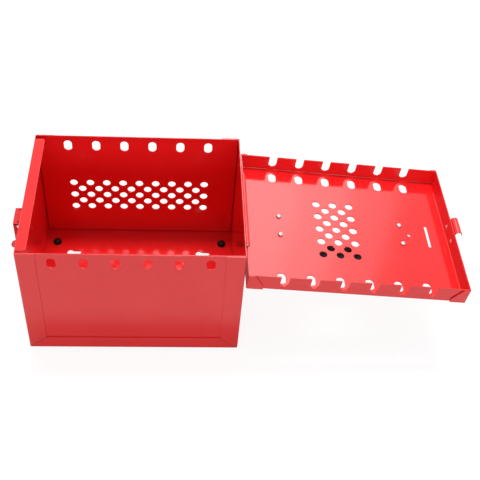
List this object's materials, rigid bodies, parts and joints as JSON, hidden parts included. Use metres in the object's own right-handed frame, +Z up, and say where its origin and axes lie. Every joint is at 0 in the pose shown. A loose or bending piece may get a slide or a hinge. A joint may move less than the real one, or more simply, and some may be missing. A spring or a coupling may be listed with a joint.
{
  "type": "group lockout box",
  "caption": "Sheet steel box with a hinged carry-handle lid, a wire loop latch, rows of padlock holes and round vents, shown open.",
  "frame": {"origin": "centre of the box in plan, on the plane its feet stand on", "axes": "+X to the hinge side, +Y to the back wall with the vents, +Z up"},
  "size_m": [0.5556, 0.208, 0.174],
  "materials": {
    "red_powder_coat": "glossy powder coat",
    "foot_rubber": "moulded",
    "plated_steel": "zinc plated",
    "rivet_steel": "blind rivet",
    "grip_plastic": "moulded"
  },
  "bodies": {
    "box": {"box_body": "red_powder_coat", "front_panel": "red_powder_coat", "back_panel": "red_powder_coat", "rubber_foot_front_left": "foot_rubber", "rubber_foot_front_right": "foot_rubber", "rubber_foot_back_left": "foot_rubber", "rubber_foot_back_right": "foot_rubber", "hinge_leaf_box": "red_powder_coat", "hinge_pin": "plated_steel", "latch_base": "red_powder_coat", "latch_base_rivets": "red_powder_coat", "latch_pivot_pin": "plated_steel"},
    "lid": {"lid_pan": "red_powder_coat", "hinge_leaf_lid": "red_powder_coat", "latch_keeper": "red_powder_coat", "keeper_rivets": "rivet_steel", "handle_bracket_latch_side": "plated_steel", "handle_bracket_hinge_side": "plated_steel", "handle_rivets_latch_side": "rivet_steel", "handle_rivets_hinge_side": "rivet_steel"},
    "handle": {"handle_bail": "plated_steel", "handle_grip": "grip_plastic"},
    "latch_lever": {"latch_lever": "red_powder_coat"},
    "latch_loop": {"latch_loop": "plated_steel"}
  },
  "joints": [
    {"name": "lid_hinge", "type": "hinge", "parent": "box", "child": "lid", "pos_m": [0.131, 0, 0.15], "axis": [0, 1, 0], "range_deg": [-184.9, 0]},
    {"name": "handle_swing", "type": "hinge", "parent": "lid", "child": "handle", "pos_m": [0.25219, 0, 0.11094], "axis": [0.9963, 0, -0.0859], "range_deg": [-77, 77]},
    {"name": "lever_turn", "type": "hinge", "parent": "box", "child": "latch_lever", "pos_m": [-0.1385, 0, 0.126], "axis": [0, 1, 0], "range_deg": [0, 155]},
    {"name": "loop_swing", "type": "hinge", "parent": "latch_lever", "child": "latch_loop", "pos_m": [-0.1366, 0, 0.1185], "axis": [0, 1, 0], "range_deg": [0, 165]}
  ]
}
